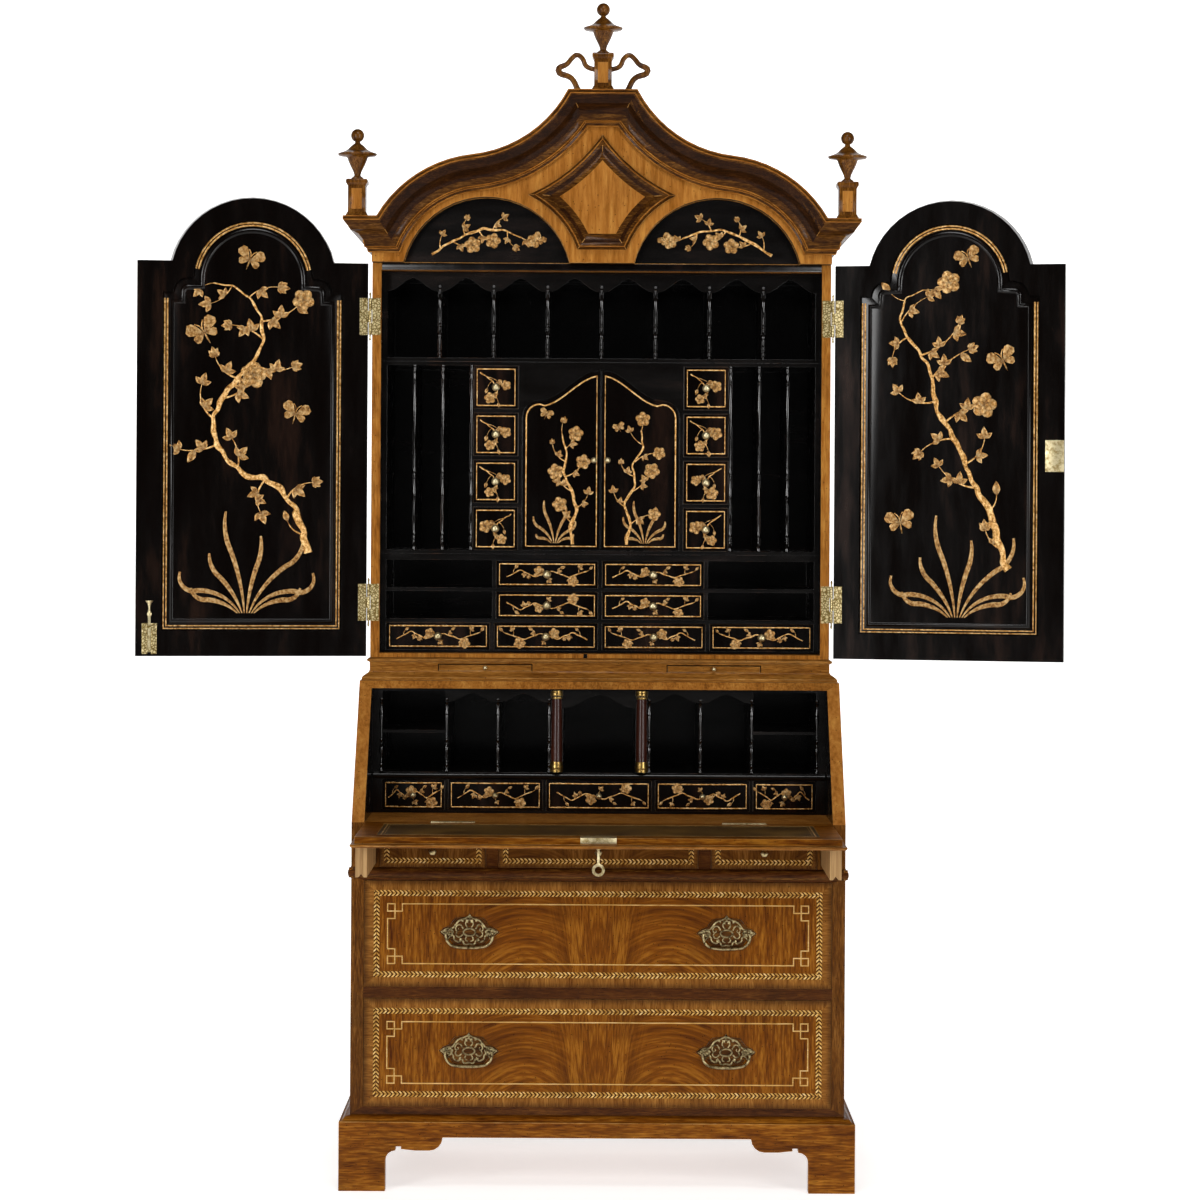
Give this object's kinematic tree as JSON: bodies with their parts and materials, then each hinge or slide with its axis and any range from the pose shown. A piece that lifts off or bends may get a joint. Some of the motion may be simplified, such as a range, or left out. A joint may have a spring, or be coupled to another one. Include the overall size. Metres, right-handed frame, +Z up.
{
  "type": "writing bureau",
  "caption": "Double-dome bureau cabinet in walnut: sloped fall on lopers over drawers, arched doors and black lacquered interiors of pigeonholes and small drawers.",
  "frame": {"origin": "on the floor, in the middle of the width and depth of the open bureau", "axes": "+Z up, front towards -Y"},
  "size_m": [1.9984, 0.8958, 2.5203],
  "materials": {
    "walnut": "waxed walnut veneer",
    "black_lacquer": "glossy black lacquer with gilt ornament",
    "pale_wood": "bare pale wood",
    "brass": "aged brass",
    "olive_leather": "tooled olive leather"
  },
  "bodies": {
    "case": {"base_with_feet": "walnut", "lower_case": "walnut", "cabinet_base": "walnut", "desk_fitment": "black_lacquer", "upper_case": "walnut", "pigeonhole_row": "black_lacquer", "nest_case": "black_lacquer", "lower_nest": "black_lacquer", "hood": "walnut", "finial_left": "walnut", "finial_middle": "walnut", "finial_right": "walnut", "hinge_left_lower": "brass", "hinge_left_upper": "brass", "hinge_right_lower": "brass", "hinge_right_upper": "brass"},
    "left_door": {"left_door_frame": "black_lacquer", "left_door_panel": "black_lacquer"},
    "right_door": {"right_door_frame": "black_lacquer", "right_door_panel": "black_lacquer"},
    "left_door_bolt": {"left_door_bolt": "brass"},
    "fall": {"fall_front": "walnut", "writing_leather": "olive_leather"},
    "fall_key": {"fall_key": "brass"},
    "loper_left": {"loper_left": "pale_wood"},
    "candle_slide_left": {"candle_slide_left": "walnut"},
    "loper_right": {"loper_right": "pale_wood"},
    "candle_slide_right": {"candle_slide_right": "walnut"},
    "lower_long_drawer": {"lower_long_drawer": "walnut"},
    "lower_long_bail_left": {"lower_long_bail_left": "brass"},
    "lower_long_bail_right": {"lower_long_bail_right": "brass"},
    "upper_long_drawer": {"upper_long_drawer": "walnut"},
    "upper_long_bail_left": {"upper_long_bail_left": "brass"},
    "upper_long_bail_right": {"upper_long_bail_right": "brass"},
    "frieze_drawer_left": {"frieze_drawer_left": "walnut"},
    "frieze_drawer_middle": {"frieze_drawer_middle": "walnut"},
    "frieze_drawer_right": {"frieze_drawer_right": "walnut"},
    "column_drawer_left_1": {"column_drawer_left_1": "black_lacquer"},
    "column_drawer_left_2": {"column_drawer_left_2": "black_lacquer"},
    "column_drawer_left_3": {"column_drawer_left_3": "black_lacquer"},
    "column_drawer_left_4": {"column_drawer_left_4": "black_lacquer"},
    "column_drawer_right_1": {"column_drawer_right_1": "black_lacquer"},
    "column_drawer_right_2": {"column_drawer_right_2": "black_lacquer"},
    "column_drawer_right_3": {"column_drawer_right_3": "black_lacquer"},
    "column_drawer_right_4": {"column_drawer_right_4": "black_lacquer"},
    "inner_drawer_left_upper": {"inner_drawer_left_upper": "black_lacquer"},
    "inner_drawer_left_lower": {"inner_drawer_left_lower": "black_lacquer"},
    "inner_drawer_right_upper": {"inner_drawer_right_upper": "black_lacquer"},
    "inner_drawer_right_lower": {"inner_drawer_right_lower": "black_lacquer"},
    "bottom_drawer_1": {"bottom_drawer_1": "black_lacquer"},
    "bottom_drawer_2": {"bottom_drawer_2": "black_lacquer"},
    "bottom_drawer_3": {"bottom_drawer_3": "black_lacquer"},
    "bottom_drawer_4": {"bottom_drawer_4": "black_lacquer"},
    "desk_drawer_1": {"desk_drawer_1": "black_lacquer"},
    "desk_drawer_2": {"desk_drawer_2": "black_lacquer"},
    "desk_drawer_3": {"desk_drawer_3": "black_lacquer"},
    "desk_drawer_4": {"desk_drawer_4": "black_lacquer"},
    "desk_drawer_5": {"desk_drawer_5": "black_lacquer"},
    "cupboard_door_left": {"cupboard_door_left": "black_lacquer"},
    "cupboard_door_right": {"cupboard_door_right": "black_lacquer"}
  },
  "joints": [
    {"name": "left_door_swing", "type": "hinge", "parent": "case", "child": "left_door", "pos_m": [-0.5022, 0.12129, 1.5], "axis": [0, 0, -1], "range_deg": [-172, 8]},
    {"name": "right_door_swing", "type": "hinge", "parent": "case", "child": "right_door", "pos_m": [0.5022, 0.12129, 1.5], "axis": [0, 0, 1], "range_deg": [-167, 13]},
    {"name": "bolt_slide", "type": "slide", "parent": "left_door", "child": "left_door_bolt", "axis": [0, 0, -1], "range_m": [0, 0.008]},
    {"name": "fall_swing", "type": "hinge", "parent": "case", "child": "fall", "pos_m": [0, -0.09589, 0.7703], "axis": [1, 0, 0], "range_deg": [-126.71, 0]},
    {"name": "key_turn", "type": "hinge", "parent": "fall", "child": "fall_key", "pos_m": [0, -0.40879, 0.7503], "axis": [0, 0, 1], "range_deg": [0, 90]},
    {"name": "loper_left_slide", "type": "slide", "parent": "case", "child": "loper_left", "axis": [0, -1, 0], "range_m": [-0.27, 0]},
    {"name": "candle_slide_left_pull", "type": "slide", "parent": "case", "child": "candle_slide_left", "axis": [0, -1, 0], "range_m": [0, 0.15]},
    {"name": "loper_right_slide", "type": "slide", "parent": "case", "child": "loper_right", "axis": [0, -1, 0], "range_m": [-0.27, 0]},
    {"name": "candle_slide_right_pull", "type": "slide", "parent": "case", "child": "candle_slide_right", "axis": [0, -1, 0], "range_m": [0, 0.15]},
    {"name": "lower_long_drawer_slide", "type": "slide", "parent": "case", "child": "lower_long_drawer", "axis": [0, -1, 0], "range_m": [0, 0.4]},
    {"name": "lower_long_bail_left_swing", "type": "hinge", "parent": "lower_long_drawer", "child": "lower_long_bail_left", "pos_m": [-0.27, -0.12186, 0.29145], "axis": [-1, 0, 0], "range_deg": [0, 90]},
    {"name": "lower_long_bail_right_swing", "type": "hinge", "parent": "lower_long_drawer", "child": "lower_long_bail_right", "pos_m": [0.27, -0.12186, 0.29145], "axis": [-1, 0, 0], "range_deg": [0, 90]},
    {"name": "upper_long_drawer_slide", "type": "slide", "parent": "case", "child": "upper_long_drawer", "axis": [0, -1, 0], "range_m": [0, 0.4]},
    {"name": "upper_long_bail_left_swing", "type": "hinge", "parent": "upper_long_drawer", "child": "upper_long_bail_left", "pos_m": [-0.27, -0.12186, 0.54095], "axis": [-1, 0, 0], "range_deg": [0, 90]},
    {"name": "upper_long_bail_right_swing", "type": "hinge", "parent": "upper_long_drawer", "child": "upper_long_bail_right", "pos_m": [0.27, -0.12186, 0.54095], "axis": [-1, 0, 0], "range_deg": [0, 90]},
    {"name": "frieze_drawer_left_slide", "type": "slide", "parent": "case", "child": "frieze_drawer_left", "axis": [0, -1, 0], "range_m": [0, 0.25]},
    {"name": "frieze_drawer_middle_slide", "type": "slide", "parent": "case", "child": "frieze_drawer_middle", "axis": [0, -1, 0], "range_m": [0, 0.25]},
    {"name": "frieze_drawer_right_slide", "type": "slide", "parent": "case", "child": "frieze_drawer_right", "axis": [0, -1, 0], "range_m": [0, 0.25]},
    {"name": "column_drawer_left_1_slide", "type": "slide", "parent": "case", "child": "column_drawer_left_1", "axis": [0, -1, 0], "range_m": [0, 0.15]},
    {"name": "column_drawer_left_2_slide", "type": "slide", "parent": "case", "child": "column_drawer_left_2", "axis": [0, -1, 0], "range_m": [0, 0.15]},
    {"name": "column_drawer_left_3_slide", "type": "slide", "parent": "case", "child": "column_drawer_left_3", "axis": [0, -1, 0], "range_m": [0, 0.15]},
    {"name": "column_drawer_left_4_slide", "type": "slide", "parent": "case", "child": "column_drawer_left_4", "axis": [0, -1, 0], "range_m": [0, 0.15]},
    {"name": "column_drawer_right_1_slide", "type": "slide", "parent": "case", "child": "column_drawer_right_1", "axis": [0, -1, 0], "range_m": [0, 0.15]},
    {"name": "column_drawer_right_2_slide", "type": "slide", "parent": "case", "child": "column_drawer_right_2", "axis": [0, -1, 0], "range_m": [0, 0.15]},
    {"name": "column_drawer_right_3_slide", "type": "slide", "parent": "case", "child": "column_drawer_right_3", "axis": [0, -1, 0], "range_m": [0, 0.15]},
    {"name": "column_drawer_right_4_slide", "type": "slide", "parent": "case", "child": "column_drawer_right_4", "axis": [0, -1, 0], "range_m": [0, 0.15]},
    {"name": "inner_drawer_left_upper_slide", "type": "slide", "parent": "case", "child": "inner_drawer_left_upper", "axis": [0, -1, 0], "range_m": [0, 0.15]},
    {"name": "inner_drawer_left_lower_slide", "type": "slide", "parent": "case", "child": "inner_drawer_left_lower", "axis": [0, -1, 0], "range_m": [0, 0.15]},
    {"name": "inner_drawer_right_upper_slide", "type": "slide", "parent": "case", "child": "inner_drawer_right_upper", "axis": [0, -1, 0], "range_m": [0, 0.15]},
    {"name": "inner_drawer_right_lower_slide", "type": "slide", "parent": "case", "child": "inner_drawer_right_lower", "axis": [0, -1, 0], "range_m": [0, 0.15]},
    {"name": "bottom_drawer_1_slide", "type": "slide", "parent": "case", "child": "bottom_drawer_1", "axis": [0, -1, 0], "range_m": [0, 0.15]},
    {"name": "bottom_drawer_2_slide", "type": "slide", "parent": "case", "child": "bottom_drawer_2", "axis": [0, -1, 0], "range_m": [0, 0.15]},
    {"name": "bottom_drawer_3_slide", "type": "slide", "parent": "case", "child": "bottom_drawer_3", "axis": [0, -1, 0], "range_m": [0, 0.15]},
    {"name": "bottom_drawer_4_slide", "type": "slide", "parent": "case", "child": "bottom_drawer_4", "axis": [0, -1, 0], "range_m": [0, 0.15]},
    {"name": "desk_drawer_1_slide", "type": "slide", "parent": "case", "child": "desk_drawer_1", "axis": [0, -1, 0], "range_m": [0, 0.15]},
    {"name": "desk_drawer_2_slide", "type": "slide", "parent": "case", "child": "desk_drawer_2", "axis": [0, -1, 0], "range_m": [0, 0.15]},
    {"name": "desk_drawer_3_slide", "type": "slide", "parent": "case", "child": "desk_drawer_3", "axis": [0, -1, 0], "range_m": [0, 0.15]},
    {"name": "desk_drawer_4_slide", "type": "slide", "parent": "case", "child": "desk_drawer_4", "axis": [0, -1, 0], "range_m": [0, 0.15]},
    {"name": "desk_drawer_5_slide", "type": "slide", "parent": "case", "child": "desk_drawer_5", "axis": [0, -1, 0], "range_m": [0, 0.15]},
    {"name": "cupboard_door_left_swing", "type": "hinge", "parent": "case", "child": "cupboard_door_left", "pos_m": [-0.172, 0.16289, 1.5], "axis": [0, 0, -1], "range_deg": [0, 90]},
    {"name": "cupboard_door_right_swing", "type": "hinge", "parent": "case", "child": "cupboard_door_right", "pos_m": [0.172, 0.16289, 1.5], "axis": [0, 0, 1], "range_deg": [0, 90]}
  ]
}
